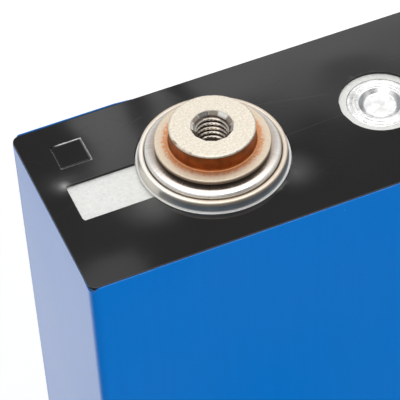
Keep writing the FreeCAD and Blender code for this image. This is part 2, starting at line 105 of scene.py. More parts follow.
def split(vector):
    return add_node(home(vector), "ShaderNodeSeparateXYZ", None, {0: vector}).outputs


def spread(value, low, high, to_low=0.0, to_high=1.0):
    """Carries a value's range low..high evenly onto to_low..to_high, held at both ends."""
    inputs = {"Value": value, "From Min": low, "From Max": high, "To Min": to_low, "To Max": to_high}
    return add_node(home(value), "ShaderNodeMapRange", {"clamp": True}, inputs).outputs[0]


def noise(vector, scale, detail=2.0, rough=0.5):
    inputs = {"Vector": vector, "Scale": scale, "Detail": detail, "Roughness": rough}
    return add_node(home(vector), "ShaderNodeTexNoise", None, inputs).outputs["Fac"]


def blend_colours(factor, first, second):
    """The first colour where the factor is 0 and the second where it is 1. Each is a socket or three
    channels."""
    inputs = {0: factor}
    for place, colour in ((6, first), (7, second)):
        inputs[place] = colour if isinstance(colour, bpy.types.NodeSocket) else (*colour, 1.0)
    return add_node(home(factor), "ShaderNodeMix", {"data_type": "RGBA"}, inputs).outputs[2]


def object_place(tree):
    return add_node(tree, "ShaderNodeTexCoord").outputs["Object"]


def face_normal(tree):
    return add_node(tree, "ShaderNodeNewGeometry").outputs["Normal"]


# Fine grain of a rolled, blasted, moulded or woven face: Grain is noise of the given size, drawn out
# along the axes by Stretch, and Blotch is slow noise that makes one patch differ from the next.
grain_group, given = new_group(
    "fine_grain",
    {"Size": 0.0002, "Stretch": (1.0, 1.0, 1.0), "Blotch Size": 0.012},
    ["Grain", "Blotch"])
place = object_place(grain_group)
drawn = vector_maths("DIVIDE", place, given["Stretch"])[0]
fine = noise(drawn, maths("DIVIDE", 1.0, given["Size"]), 3.0, 0.6)
slow = noise(place, maths("DIVIDE", 1.0, given["Blotch Size"]))
give(grain_group, fine, slow)


def new_material(name, roughness, metallic=0.0, **sockets):
    """A material with its Principled shader, constants set on the shader's own sockets."""
    material = bpy.data.materials.new(name)
    material.use_nodes = True
    tree = material.node_tree
    shader = tree.nodes["Principled BSDF"]
    for key, value in {"Roughness": roughness, "Metallic": metallic, **sockets}.items():
        shader.inputs[key.replace("_", " ")].default_value = value
    return material, tree, shader


def add_grain(tree, size, stretch=(1.0, 1.0, 1.0), blotch=0.012):
    """Grain and Blotch."""
    return use_group(tree, grain_group, Size=size, Stretch=stretch, Blotch_Size=blotch)[:]


def shades(colour, tone):
    """A darker and a lighter version of a colour, tone apart from it."""
    return [tuple(min(channel * change, 1.0) for channel in colour) for change in (1.0 - tone, 1.0 + tone)]


def finish_surface(shader, colour, rough, height, depth):
    """Links colour and roughness, and a bump of a depth in metres from a height between 0 and 1."""
    bump = add_node(home(height), "ShaderNodeBump", None, {"Height": height, "Distance": depth})
    for key, value in (("Base Color", colour), ("Roughness", rough), ("Normal", bump.outputs[0])):
        home(height).links.new(value, shader.inputs[key])


def dress(material, *names):
    """Puts a material on carried-over nodes in place of their own."""
    for name in names:
        mesh = nodes[name].data
        mesh.materials.clear()
        mesh.materials.append(material)


roll_finish, tree, shader = new_material("wound_foil", 0.55)
across = split(object_place(tree))["Y"]
flat_side = spread(maths("ABSOLUTE", split(face_normal(tree))["Y"]), 0.3, 0.8)
turn = maths("PINGPONG", maths("DIVIDE", across, FOIL_PITCH), 0.5)
edges = blend_colours(spread(turn, 0.15, 0.35), FOIL_EDGE_DARK, FOIL_EDGE_COPPER)
fine, slow = add_grain(tree, 0.0006, (6.0, 1.0, 1.0), 0.02)
wrap = blend_colours(slow, *shades(SEPARATOR, 0.06))
rough = spread(fine, 0.3, 0.7, 0.45, 0.65)
finish_surface(shader, blend_colours(flat_side, edges, wrap), rough, fine, 0.00001)
dress(roll_finish, "front_jelly_roll", "back_jelly_roll")


# ---- tapes -----------------------------------------------
# Strips of green polyester tape that hold the last turn of each roll.
GREEN_TAPE = (0.03, 0.32, 0.14)


def times(product, *factors):
    for factor in factors:
        product = maths("MULTIPLY", product, factor)
    return product


def plus(total, *terms):
    for term in terms:
        total = maths("ADD", total, term)
    return total


def grained(name, colour, roughness, metallic=0.0, size=0.0002, stretch=(1.0, 1.0, 1.0), blotch=0.012,
            tone=0.08, swing=0.08, depth=0.000008):
    """A finish with fine grain. Tone is how far the colour varies and swing how far the roughness does."""
    material, tree, shader = new_material(name, roughness, metallic)
    fine, slow = add_grain(tree, size, stretch, blotch)
    both = times(plus(fine, slow), 0.5)
    colours = blend_colours(spread(both, 0.35, 0.65), *shades(colour, tone))
    rough = spread(both, 0.35, 0.65, roughness - swing, roughness + swing)
    finish_surface(shader, colours, rough, fine, depth)
    return material


dress(grained("green_tape", GREEN_TAPE, 0.28, size=0.0005, stretch=(8.0, 1.0, 1.0), depth=0.000004),
      "roll_tapes")


# ---- tabs and collectors ---------------------------------
# Stacks of bare foil welded to a stamped plate under each stud: copper on the negative side,
# aluminium on the positive. The stacks keep the fine wrinkles of the foil.
COPPER = (0.80, 0.44, 0.29)
BARE_ALUMINIUM = (0.88, 0.88, 0.87)
for metal, colour, roughness, pole in (("copper", COPPER, 0.34, "negative"),
                                       ("aluminium", BARE_ALUMINIUM, 0.36, "positive")):
    dress(grained(metal + "_plate", colour, roughness, 1.0, size=0.0003, stretch=(10.0, 1.0, 1.0)),
          pole + "_collector")
    dress(grained(metal + "_foil", colour, 0.30, 1.0, size=0.0007, stretch=(1.0, 1.0, 8.0), depth=0.00004),
          pole + "_tabs")


# ---- moulded plastic pieces ------------------------------
# White polypropylene: the spacers at the ends of the rolls, the plate on the can's floor, the frame
# under the lid, the insulators under the collectors and the slotted guard under the vent.
WHITE_PLASTIC = (0.82, 0.82, 0.80)
dress(grained("white_plastic", WHITE_PLASTIC, 0.42, size=0.0004, tone=0.04, depth=0.000012),
      "left_spacer", "right_spacer", "bottom_plate", "inner_lid_frame", "negative_lower_insulator",
      "positive_lower_insulator", "vent_guard")


# ---- insulating bag --------------------------------------
# A bag of thin milky film round both rolls, which keeps them off the can.
BAG_FILM = (0.66, 0.72, 0.76)
dress(grained("bag_film", BAG_FILM, 0.30, size=0.003, stretch=(1.0, 1.0, 4.0), tone=0.05, depth=0.00006),
      "insulating_bag")


# ---- can -------------------------------------------------
# Deep-drawn aluminium, open at the top, with the upright streaks that drawing leaves.
DRAWN_ALUMINIUM = (0.80, 0.81, 0.82)
dress(grained("drawn_aluminium", DRAWN_ALUMINIUM, 0.32, 1.0, size=0.0004, stretch=(1.0, 1.0, 40.0)), "can")


# ---- lid plate -------------------------------------------
# A stamped aluminium plate, matt and silvery white, welded into the can's mouth. It shows through the
# oblong windows of the top sheet and in the ring round the vent.
MATT_ALUMINIUM = (0.70, 0.705, 0.685)
dress(grained("matt_aluminium", MATT_ALUMINIUM, 0.62, 0.75, size=0.0004, stretch=(1.4, 1.0, 1.0),
              blotch=0.0007, tone=0.1, depth=0.00003), "lid_plate")


# ---- rubber seals ----------------------------------------
# Black moulded rubber: a ring round each stud in the lid's hole, and the plug in the filling hole.
BLACK_RUBBER = (0.022, 0.022, 0.024)
dress(grained("black_rubber", BLACK_RUBBER, 0.62, size=0.0003, depth=0.00001),
      "negative_seal_ring", "positive_seal_ring", "fill_plug")


# ---- studs -----------------------------------------------
# Turned studs that are riveted through the lid: a round boss with an M6 thread stands on a thin
# flange. The negative one is copper under satin nickel, worn to copper round the boss's wall; the
# positive one is plain aluminium.
STUD_X = 36.9
SHEET_TOP = 193.4
BOSS_RADIUS = 6.95
BOSS_TOP = 200.5
FLANGE_RADIUS = 9.35
FLANGE_UNDER = 196.8
FLANGE_TOP = 197.5
SHANK_RADIUS = 5.0
COLLECTOR_TOP = 189.4
NECK_RADIUS = 3.4
RIVET_RADIUS = 4.6
RIVET_TOP = 187.9
RIVET_UNDER = 187.1
THREAD_PITCH = 1.0
THREAD_MINOR = 2.5
THREAD_MAJOR = 2.98
THREAD_CREST = 1 / 4
THREAD_ROOT = 1 / 8
THREAD_END = 194.3
BORE_END = 193.3
DRILL_TIP = 191.8
MOUTH_EDGE = 3.64
CHATTER_FLATS = 12
CHATTER_PHASE = 0.2
CHATTER_RADIUS = 3.54
STUD_TURNS = 144
BORE_ROWS = 150
SUPPORT = 0.05


def profile(corners, steps=5, closed=True):
    """A line through corners given as (across, up, radius). A tangent arc rounds each corner, and each
    long straight run has a point just inside both its ends, which keeps its shading flat. Where the
    line isn't closed it stops at the last corner."""
    table = np.array(corners, dtype=float)
    corner, radius = table[:, :2], table[:, 2:]
    back = np.roll(corner, 1, axis=0) - corner
    ahead = np.roll(corner, -1, axis=0) - corner
    back /= np.linalg.norm(back, axis=1, keepdims=True)
    ahead /= np.linalg.norm(ahead, axis=1, keepdims=True)
    half = np.arccos(np.clip((back * ahead).sum(axis=1, keepdims=True), -0.9999, 0.9999)) / 2
    start = corner + back * radius / np.tan(half)
    end = corner + ahead * radius / np.tan(half)
    middle = (back + ahead) / np.linalg.norm(back + ahead, axis=1, keepdims=True)
    centre = corner + middle * radius / np.sin(half)
    first = np.arctan2(*(start - centre).T[::-1])
    sweep = np.arctan2(*(end - centre).T[::-1]) - first
    sweep = (sweep + np.pi) % (2 * np.pi) - np.pi
    angle = first[:, None] + sweep[:, None] * np.linspace(0, 1, steps + 1)
    arc = centre[:, None, :] + radius[:, None, :] * np.stack([np.cos(angle), np.sin(angle)], axis=-1)
    line = np.where(radius[:, None, :] > 0, arc, corner[:, None, :]).reshape(-1, 2)
    line = line[np.r_[True, np.linalg.norm(np.diff(line, axis=0), axis=1) > 1e-6]]
    run = np.roll(line, -1, axis=0) - line
    length = np.linalg.norm(run, axis=1, keepdims=True)
    nudge = run / np.maximum(length, 1e-9) * SUPPORT
    filled = np.stack([line, line + nudge, np.roll(line, -1, axis=0) - nudge], axis=1)
    wanted = np.repeat(length > 4 * SUPPORT, 3, axis=1)
    wanted[:, 0] = True
    if not closed:
        wanted[-1, 1:] = False
    return filled[wanted]


def grid_faces(rows, columns, wrap_rows=False):
    """Quads between neighbouring points of a grid whose columns run all the way round. They face
    outwards where the rows climb and the columns turn anticlockwise."""
    row = np.arange(rows if wrap_rows else rows - 1)[:, None]
    column = np.arange(columns)[None, :]
    above, beside = (row + 1) % rows, (column + 1) % columns
    quads = np.stack([row * columns + column, row * columns + beside, above * columns + beside,
                      above * columns + column], axis=-1)
    return quads.reshape(-1, 4).tolist()


def new_piece(name, points, faces, material, slot, *cad_nodes, crease=38.0):
    """A piece from points in millimetres, smooth except at edges bent by more than the crease angle."""
    mesh = bpy.data.meshes.new(name)
    mesh.from_pydata((np.asarray(points) * MM).tolist(), [], faces)
    mesh.validate()
    mesh.shade_smooth()
    mesh.set_sharp_from_angle(angle=math.radians(crease))
    mesh.materials.append(material)
    piece = bpy.data.objects.new(name, mesh)
    bpy.context.scene.collection.objects.link(piece)
    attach(piece, "root")
    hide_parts(*cad_nodes)


def turn_about(axis_x, radius, height, turns):
    """Points of a turned surface: across = radius * cos(angle), along = radius * sin(angle), up = height.
    The radius has one row for each height, and one column, or one for each angle."""
    angle = np.arange(turns) * 2 * np.pi / turns
    radius = np.broadcast_to(radius, (len(height), turns))
    up = np.broadcast_to(height[:, None], radius.shape)
    return np.stack([axis_x + radius * np.cos(angle), radius * np.sin(angle), up], axis=-1).reshape(-1, 3)


def turned_ring(name, axis_x, corners, material, slot, cad_node, turns=128, steps=5):
    """A closed section turned all the way round. Its corners run anticlockwise."""
    line = profile(corners, steps)
    points = turn_about(axis_x, line[:, :1], line[:, 1], turns)
    new_piece(name, points, grid_faces(len(line), turns, wrap_rows=True), material, slot, cad_node)


def turned_solid(name, axis_x, radius, height, ends, turns, material, slot, cad_node):
    """A turned surface whose first and last rows are closed by triangles to a point on the axis, at the
    two heights given as ends."""
    points = turn_about(axis_x, radius, height, turns)
    faces = grid_faces(len(height), turns)
    column = np.arange(turns)
    beside = (column + 1) % turns
    last = len(points) - turns
    for pole, fan in enumerate(((beside, column), (last + column, last + beside))):
        faces += np.stack([*fan, np.full(turns, len(points) + pole)], axis=1).tolist()
    poles = [(axis_x, 0, level) for level in ends]
    new_piece(name, np.r_[points, poles], faces, material, slot, cad_node)


def thread_radius(angle, height):
    """Radius of the M6 bore: a crest of a quarter pitch, a root of an eighth, and straight flanks
    between, climbing one pitch in each anticlockwise turn and fading out towards the end."""
    phase = (height / THREAD_PITCH - angle / (2 * np.pi)) % 1.0
    from_crest = np.minimum(phase, 1.0 - phase)
    flank = (1.0 - THREAD_CREST - THREAD_ROOT) / 2
    depth = np.clip((from_crest - THREAD_CREST / 2) / flank, 0, 1) * (THREAD_MAJOR - THREAD_MINOR)
    return THREAD_MINOR + depth * np.clip((height - THREAD_END) / THREAD_PITCH, 0, 1)


def countersink_radius(angle, height):
    """Radius of the 90 degree countersink, which chatter of the cutter has left as shallow flats."""
    flat = 2 * np.pi / CHATTER_FLATS
    cut = np.cos(flat / 2) / np.cos((angle + CHATTER_PHASE) % flat - flat / 2)
    return CHATTER_RADIUS * cut - (BOSS_TOP - height)


def stud(name, axis_x, material, slot, cad_node):
    """The outside is a profile from the middle of the underside up to the countersink. The bore is a
    grid of even heights, whose radius is the larger of thread and countersink."""
    outside = profile([
        (0.8, RIVET_UNDER, 0), (RIVET_RADIUS, RIVET_UNDER, 0.2), (RIVET_RADIUS, RIVET_TOP, 0.1),
        (NECK_RADIUS, RIVET_TOP, 0), (NECK_RADIUS, COLLECTOR_TOP, 0), (SHANK_RADIUS, COLLECTOR_TOP, 0.1),
        (SHANK_RADIUS, FLANGE_UNDER, 0.1), (FLANGE_RADIUS, FLANGE_UNDER, 0.15),
        (FLANGE_RADIUS, FLANGE_TOP, 0.2), (BOSS_RADIUS, FLANGE_TOP, 0.35), (BOSS_RADIUS, BOSS_TOP, 0.3),
        (MOUTH_EDGE, BOSS_TOP, 0)], closed=False)
    bore_height = np.r_[np.linspace(BOSS_TOP, THREAD_END, BORE_ROWS), THREAD_END - 0.2, BORE_END]
    angle = np.arange(STUD_TURNS) * 2 * np.pi / STUD_TURNS
    level = bore_height[:, None]
    bore = np.maximum(thread_radius(angle, level), countersink_radius(angle, level))
    radius = np.r_[np.broadcast_to(outside[:, :1], (len(outside), STUD_TURNS)), bore]
    turned_solid(name, axis_x, radius, np.r_[outside[:, 1], bore_height], (RIVET_UNDER, DRILL_TIP),
                 STUD_TURNS, material, slot, cad_node)


# Turned rings: fine grooves round an upright axis at Centre. Rings is noise that changes with radius
# only, Radius and Height are the distances from the axis and from the underside in metres, and Rays is
# noise that runs out along the radius.
rings_group, given = new_group(
    "turned_rings",
    {"Centre": (0.0, 0.0, 0.0), "Spacing": 0.0002, "Ray Size": 0.08},
    ["Rings", "Radius", "Height", "Rays"])
local = vector_maths("SUBTRACT", object_place(rings_group), given["Centre"])[0]
flat_place = vector_maths("MULTIPLY", local, (1.0, 1.0, 0.0))[0]
radius = vector_maths("LENGTH", flat_place)["Value"]
ring_steps = maths("DIVIDE", radius, given["Spacing"])
ring_place = add_node(rings_group, "ShaderNodeCombineXYZ", None, {0: ring_steps}).outputs[0]
heading = vector_maths("NORMALIZE", flat_place)[0]
rays = noise(heading, maths("DIVIDE", 1.0, given["Ray Size"]), 3.0, 0.6)
give(rings_group, noise(ring_place, 1.0, 2.0, 0.6), radius, split(local)["Z"], rays)


def add_rings(tree, centre_x, spacing, ray_size=0.08):
    return use_group(tree, rings_group, Centre=(centre_x * MM, 0.0, 0.0), Spacing=spacing, Ray_Size=ray_size)


def spread_mm(value, low, high, to_low=0.0, to_high=1.0):
    """As spread, with low and high in millimetres."""
    return spread(value, low * MM, high * MM, to_low, to_high)


def band(value, low, high, soft):
    """1 between low and high, given in millimetres, falling to 0 over soft beyond them."""
    fall = spread_mm(value, high, high + soft, 1.0, 0.0)
    return times(spread_mm(value, low - soft, low), fall)


def paint(colour, tint, *masks):
    """The colour, taken towards the tint by the product of the masks."""
    return blend_colours(times(*masks), colour, tint)


# Satin nickel over copper. The plating is thin on the boss's wall and where the wall meets the flange,
# so copper shows there, and the thread's valleys deep in the bore are painted dark as shade.
nickel, tree, shader = new_material("satin_nickel", 0.5, 0.85)
ring = add_rings(tree, -STUD_X, 0.00016)
radius, up = ring["Radius"], ring["Height"]
fine, slow = add_grain(tree, 0.00036, blotch=0.0022)
colour = blend_colours(spread(fine, 0.3, 0.66), (0.60, 0.54, 0.45), (0.80, 0.745, 0.65))

# The flange is a little browner. Orange residue speckles it by the boss, and the lower part of its rim is
# painted dark as shade.
on_flange = band(up, FLANGE_UNDER - 0.1, FLANGE_TOP + 0.3, 0.15)
colour = paint(colour, (0.60, 0.47, 0.33), on_flange, 0.55)
near_wall = times(spread_mm(radius, 8.7, 7.1), spread_mm(radius, 6.6, 6.9))
speckle = spread(plus(fine, times(near_wall, 0.35)), 0.5, 0.74)
colour = paint(colour, (0.60, 0.28, 0.13), spread(near_wall, 0.0, 0.5), speckle, on_flange)
# Painted shade: the flange's rim is darkened where it turns down towards the gap under it.
below = spread_mm(up, FLANGE_TOP - 0.2, FLANGE_TOP - 0.32)
colour = paint(colour, (0.24, 0.16, 0.09), band(radius, 9.2, 9.5, 0.05), below, 0.8)

# The boss's wall is bare copper, oxidised brown, with a dark line just below its rounded top edge.
wall = times(band(radius, 6.8, 7.12, 0.06), band(up, FLANGE_TOP + 0.05, BOSS_TOP - 0.36, 0.05))
copper = blend_colours(spread(slow, 0.35, 0.65), (0.20, 0.055, 0.012), (0.38, 0.10, 0.02))
dark_line = band(up, BOSS_TOP - 0.42, BOSS_TOP - 0.34, 0.06)
colour = paint(colour, paint(copper, (0.10, 0.05, 0.025), dark_line, 0.7), wall)

# The countersink's flats carry painted reflections, dark and light by turns, painted shade darkens the
# thread towards its valleys, and small rubs show on the boss's edge.
bore = spread_mm(radius, 3.45, 3.3)
colour = paint(colour, (0.46, 0.42, 0.39), bore, 0.5)
at = split(object_place(tree))
turned_by = maths("ARCTAN2", at["Y"], plus(at["X"], STUD_X * MM))
wave = maths("SINE", times(plus(turned_by, CHATTER_PHASE), CHATTER_FLATS / 2))
# Painted reflection: the countersink's flats are darkened and lightened by turns, as the dark and bright room
# mirrored in them.
chatter = times(bore, spread_mm(up, BOSS_TOP - 0.9, BOSS_TOP - 0.7))
colour = paint(colour, (0.13, 0.095, 0.07), chatter, spread(wave, -0.3, 0.3), 0.65)
colour = paint(colour, (0.93, 0.92, 0.90), chatter, spread(wave, 0.3, -0.3, 0.0, 0.7))
# Painted shade: the thread darkens towards its valleys and deeper into the bore.
threaded = times(bore, spread_mm(up, BOSS_TOP - 0.4, BOSS_TOP - 0.9))
colour = paint(colour, (0.05, 0.03, 0.02), spread_mm(radius, 2.55, 2.8), threaded)
rim = times(band(radius, 6.66, 6.96, 0.04), band(up, BOSS_TOP - 0.2, BOSS_TOP, 0.05))
colour = paint(colour, (0.22, 0.13, 0.07), rim, spread(slow, 0.54, 0.66), 0.8)
rough = plus(spread(fine, 0.3, 0.7, 0.44, 0.58), times(bore, -0.38), times(wall, -0.1))
grit = times(fine, maths("SUBTRACT", 1.0, bore))
finish_surface(shader, colour, rough, plus(grit, times(ring["Rings"], 0.15)), 0.00002)
stud("negative_stud", -STUD_X, nickel, "nickel_plate", "negative_terminal")

# Turned aluminium keeps the fine grooves of the tool on its faces.
turned_aluminium, tree, shader = new_material("turned_aluminium", 0.35, 1.0)
grooves = add_rings(tree, STUD_X, 0.00012)["Rings"]
slow = add_grain(tree, 0.0002, blotch=0.003)[1]
colour = blend_colours(spread(plus(grooves, slow), 0.7, 1.3), (0.80, 0.80, 0.79), (0.92, 0.92, 0.91))
finish_surface(shader, colour, spread(grooves, 0.3, 0.7, 0.26, 0.44), grooves, 0.000006)
stud("positive_stud", STUD_X, turned_aluminium, "stud_aluminium", "positive_terminal")


# ---- insulators under the flanges ------------------------
# A dark ceramic-filled washer with a sleeve round the stud's shank, pressed between the flange and
# the seal cup. Only its edge shows, as a dark line under the flange; its near-black colour also
# stands in for the shade in the gap under the flange.
CUP_TOP = 196.2
LID_TOP = 192.9
CUP_BORE = 7.6
WASHER_RADIUS = 8.9
SLEEVE_BORE = 5.01
SLEEVE_RADIUS = 7.58
DARK_CERAMIC_AND_SHADE = (0.035, 0.03, 0.028)
POLES = (("negative", -STUD_X), ("positive", STUD_X))
# Painted shade: the washer's near-black colour is both its own colour and the shade in the gap under the
# flange.
ceramic = grained("dark_ceramic_and_shade", DARK_CERAMIC_AND_SHADE, 0.45, size=0.0002, depth=0.00001)
for side, axis_x in POLES:
    turned_ring(side + "_flange_washer", axis_x,
                [(SLEEVE_BORE, LID_TOP, 0), (SLEEVE_RADIUS, LID_TOP, 0), (SLEEVE_RADIUS, CUP_TOP, 0),
                 (WASHER_RADIUS, CUP_TOP, 0.1), (WASHER_RADIUS, FLANGE_UNDER, 0.1),
                 (SLEEVE_BORE, FLANGE_UNDER, 0)],
                ceramic, "insulating_ceramic", side + "_insulator")


# ---- seal cups -------------------------------------------
# A pressed and polished steel cup, mouth down on the lid, that holds the seal round the stud. Its
# shoulder is rounded, polishing has left fine marks that run outwards, and its inner part, under the
# flange, is painted brown as shade and as the flange's underside mirrored in it.
CUP_RADIUS = 10.95
CUP_SHOULDER = 9.9
CUP_RIM = 195.9
CUP_WALL = 0.4
for side, axis_x in POLES:
    polished, tree, shader = new_material(side + "_polished_steel", 0.3, 1.0)
    ring = add_rings(tree, axis_x, 0.0003, 0.02)
    rays = ring["Rays"]
    fine = add_grain(tree, 0.0002)[0]
    colour = blend_colours(spread(rays, 0.2, 0.8), (0.73, 0.71, 0.68), (0.84, 0.82, 0.79))
    # Painted shade and reflection: the cup turns brown towards the flange, which shades it and is mirrored in
    # it.
    shade_reach = plus(ring["Radius"], times(rays, 0.5 * MM))
    colour = paint(colour, (0.30, 0.22, 0.17), spread_mm(shade_reach, 11.0, 9.9, 0.0, 0.75))
    rough = spread(rays, 0.3, 0.7, 0.26, 0.40)
    finish_surface(shader, colour, rough, plus(rays, fine), 0.0000025)
    turned_ring(side + "_pressed_cup", axis_x,
                [(CUP_RADIUS - CUP_WALL, LID_TOP, 0), (CUP_RADIUS, LID_TOP, 0), (CUP_RADIUS, CUP_RIM, 0.55),
                 (CUP_SHOULDER, CUP_TOP - 0.08, 0.8), (CUP_BORE, CUP_TOP, 0.05),
                 (CUP_BORE, CUP_TOP - CUP_WALL, 0.05), (CUP_RADIUS - CUP_WALL, CUP_RIM - CUP_WALL, 0.2)],
                polished, "polished_cup", side + "_seal_cup", steps=8)


# ---- crimp collars ---------------------------------------
# A thin-walled steel collar round the cup, welded to the lid by its foot. Its lip is rolled over into
# a bead, painted cream as a highlight of the bright room and lighter on the left; the wall below is
# painted bluish grey as a reflection of the black sheet, and painted paler on the left, where the
# light falls.
COLLAR_FOOT = 12.5
COLLAR_FOOT_TOP = 193.5
COLLAR_BASE = 12.15
COLLAR_OUTER = 11.9
COLLAR_BORE = 11.05
COLLAR_TOP = 195.3
for side, axis_x in POLES:
    collar_painted_light, tree, shader = new_material(side + "_steel_painted_light", 0.4, 0.9)
    ring = add_rings(tree, axis_x, 0.0002, 0.05)
    fine, slow = add_grain(tree, 0.0002, blotch=0.004)
    across = split(object_place(tree))["X"]
    bead = spread_mm(ring["Height"], COLLAR_TOP - 0.75, COLLAR_TOP - 0.5)
    foot = spread_mm(ring["Height"], COLLAR_FOOT_TOP + 0.3, COLLAR_FOOT_TOP + 0.02)
    streak = spread(plus(ring["Rings"], slow), 0.7, 1.3)
    # Painted reflection: the wall's bluish grey stands for the black sheet mirrored in it.
    colour = blend_colours(streak, (0.22, 0.29, 0.38), (0.50, 0.54, 0.58))
    # Painted light: the wall is paler on the left, where the light falls.
    colour = paint(colour, (0.80, 0.76, 0.70), spread_mm(across, axis_x - 9.6, axis_x - 11.5))
    # Painted highlight: the bead's cream, lighter on the left than on the right.
    bead_highlight = blend_colours(spread_mm(across, axis_x - 6, axis_x - 11), (0.69, 0.60, 0.50),
                              (0.82, 0.78, 0.72))
    colour = paint(paint(colour, bead_highlight, bead), (0.60, 0.59, 0.57), foot)
    rough = spread(fine, 0.3, 0.7, 0.32, 0.5)
    finish_surface(shader, colour, rough, plus(fine, ring["Rings"]), 0.00001)
    turned_ring(side + "_rolled_collar", axis_x,
                [(COLLAR_BORE, LID_TOP, 0), (COLLAR_FOOT, LID_TOP, 0), (COLLAR_FOOT, COLLAR_FOOT_TOP, 0.1),
                 (COLLAR_BASE, COLLAR_FOOT_TOP, 0.05), (COLLAR_OUTER, COLLAR_TOP, 0.34),
                 (COLLAR_BORE, COLLAR_TOP, 0.34)],
                collar_painted_light, "collar_metal", side + "_collar", steps=8)


# ---- vent disc -------------------------------------------
# A pressed aluminium bursting disc let into the lid and laser-welded round its rim. Its middle is a
# shallow bowl with a flat, textured floor, and the bowl's sides are painted dark to the left and the
# right, as the reflection of the dark room there.
VENT_X = -7.1
VENT_RADIUS = 5.5
VENT_UNDER = 191.8
BOWL_UNDER = 192.0
BOWL_FLOOR = 192.25
bright_aluminium, tree, shader = new_material("bright_aluminium", 0.3, 1.0)
ring = add_rings(tree, VENT_X, 0.0005, 0.05)
fine, slow = add_grain(tree, 0.0004, blotch=0.0015)
floor_part = spread_mm(ring["Radius"], 2.8, 2.3)
colour = blend_colours(spread(slow, 0.35, 0.65), (0.68, 0.68, 0.675), (0.93, 0.93, 0.925))
# Painted reflection: the bowl's sides darken away from a slanted line through the middle, to the left and the
# right.
at = split(object_place(tree))
slant = plus(at["X"], -VENT_X * MM, times(at["Y"], -0.5))
dark_reflection_side = spread_mm(maths("ABSOLUTE", slant), 2.3, 3.2)
colour = paint(colour, (0.20, 0.22, 0.24), band(ring["Radius"], 2.75, 3.45, 0.15), dark_reflection_side, 0.75)
rough = spread(plus(fine, times(floor_part, 0.4)), 0.35, 1.1, 0.22, 0.44)
texture = times(slow, plus(times(floor_part, 5.0), 0.1))
finish_surface(shader, colour, rough, plus(times(ring["Rings"], 0.08), texture), 0.000015)


def round_cap(name, axis_x, corners, material, slot, cad_node):
    """A turned piece closed in the middle above and below. The corners run from next to the middle of
    the underside out, up and in over the top."""
    line = profile(corners, closed=False)
    ends = (corners[0][1], corners[-1][1])
    turned_solid(name, axis_x, line[:, :1], line[:, 1], ends, 128, material, slot, cad_node)


round_cap("vent_bursting_disc", VENT_X,
          [(0.4, BOWL_UNDER, 0), (2.8, BOWL_UNDER, 0.2), (3.9, VENT_UNDER, 0.2), (VENT_RADIUS, VENT_UNDER, 0),
           (VENT_RADIUS, LID_TOP, 0.12), (5.0, LID_TOP, 0.1), (4.78, LID_TOP - 0.16, 0.1),
           (4.56, LID_TOP, 0.1), (4.2, LID_TOP, 0.06), (4.08, LID_TOP - 0.08, 0.06), (3.96, LID_TOP, 0.06),
           (3.6, LID_TOP, 0.15), (2.72, BOWL_FLOOR, 0.45), (0.4, BOWL_FLOOR, 0)],
          bright_aluminium, "vent_aluminium", "vent_disc")


# ---- filling cap -----------------------------------------
# A small round aluminium cap welded over the filling hole and its plug once the cell is filled.
FILL_X = 7.1
FILL_CAP_RADIUS = 3.5
FILL_CAP_UNDER = 192.3
FILL_CAP_DISH = 192.78
pressed_aluminium = grained("pressed_aluminium", (0.86, 0.86, 0.85), 0.36, 1.0, size=0.0003, blotch=0.002)
round_cap("filling_hole_cap", FILL_X,
          [(0.4, FILL_CAP_UNDER, 0), (FILL_CAP_RADIUS, FILL_CAP_UNDER, 0), (FILL_CAP_RADIUS, LID_TOP, 0.15),
           (2.6, LID_TOP, 0.2), (2.3, FILL_CAP_DISH, 0.2), (0.4, FILL_CAP_DISH, 0)],
          pressed_aluminium, "vent_aluminium", "fill_cap")


# ---- top sheet -------------------------------------------
# A black polyester sheet, glossy and die-cut, stuck on the lid. It has a keyhole round each stud with
# an oblong window, round holes over the vent and the filling cap, and a small square cut out and left
# in place. It lifts a little where the cuts turn sharply, and sags towards the vent.
SHEET_HALF_LENGTH = 64.95
SHEET_HALF_WIDTH = 17.7
SHEET_CORNER = 1.3
STUD_HOLE = 12.6
WINDOW_END = 60.7
WINDOW_HALF_WIDTH = 4.05
WINDOW_CORNER = 0.25
VENT_HOLE = 6.8
FILL_HOLE = 4.0
SQUARE_X, SQUARE_Y = -57.3, 10.4
SQUARE_HALF = 2.6
SQUARE_GAP = 0.15
SQUARE_CORNER = 0.12
SQUARE_RUNS = (7, 7)
EDGE_ROUND = 0.07
EDGE_MARGIN = 0.06
SHEET_STEP = 0.8


def circle(x, y, radius, count):
    angle = np.arange(count) * 2 * np.pi / count
    return np.stack([x + radius * np.cos(angle), y + radius * np.sin(angle)], axis=-1)


def oblong(x, y, half_length, half_width, corner, runs, steps=8):
    """A rectangle with rounded corners, anticlockwise: a quarter arc about each corner's centre in turn,
    with runs (along, across) points spaced evenly along the straight sides between."""
    angle = np.arange(4)[:, None] * np.pi / 2 + np.linspace(0, np.pi / 2, steps + 1)
    sign = np.array([(1, 1), (-1, 1), (-1, -1), (1, -1)])[:, :, None]
    arc_x = x + sign[:, 0] * (half_length - corner) + corner * np.cos(angle)
    arc_y = y + sign[:, 1] * (half_width - corner) + corner * np.sin(angle)
    arcs = np.stack([arc_x, arc_y], axis=-1)
    loop = []
    for index in range(4):
        share = np.linspace(0, 1, runs[index % 2] + 2)[1:-1, None]
        loop += [arcs[index], arcs[index][-1] * (1 - share) + arcs[(index + 1) % 4][0] * share]
    return np.concatenate(loop)


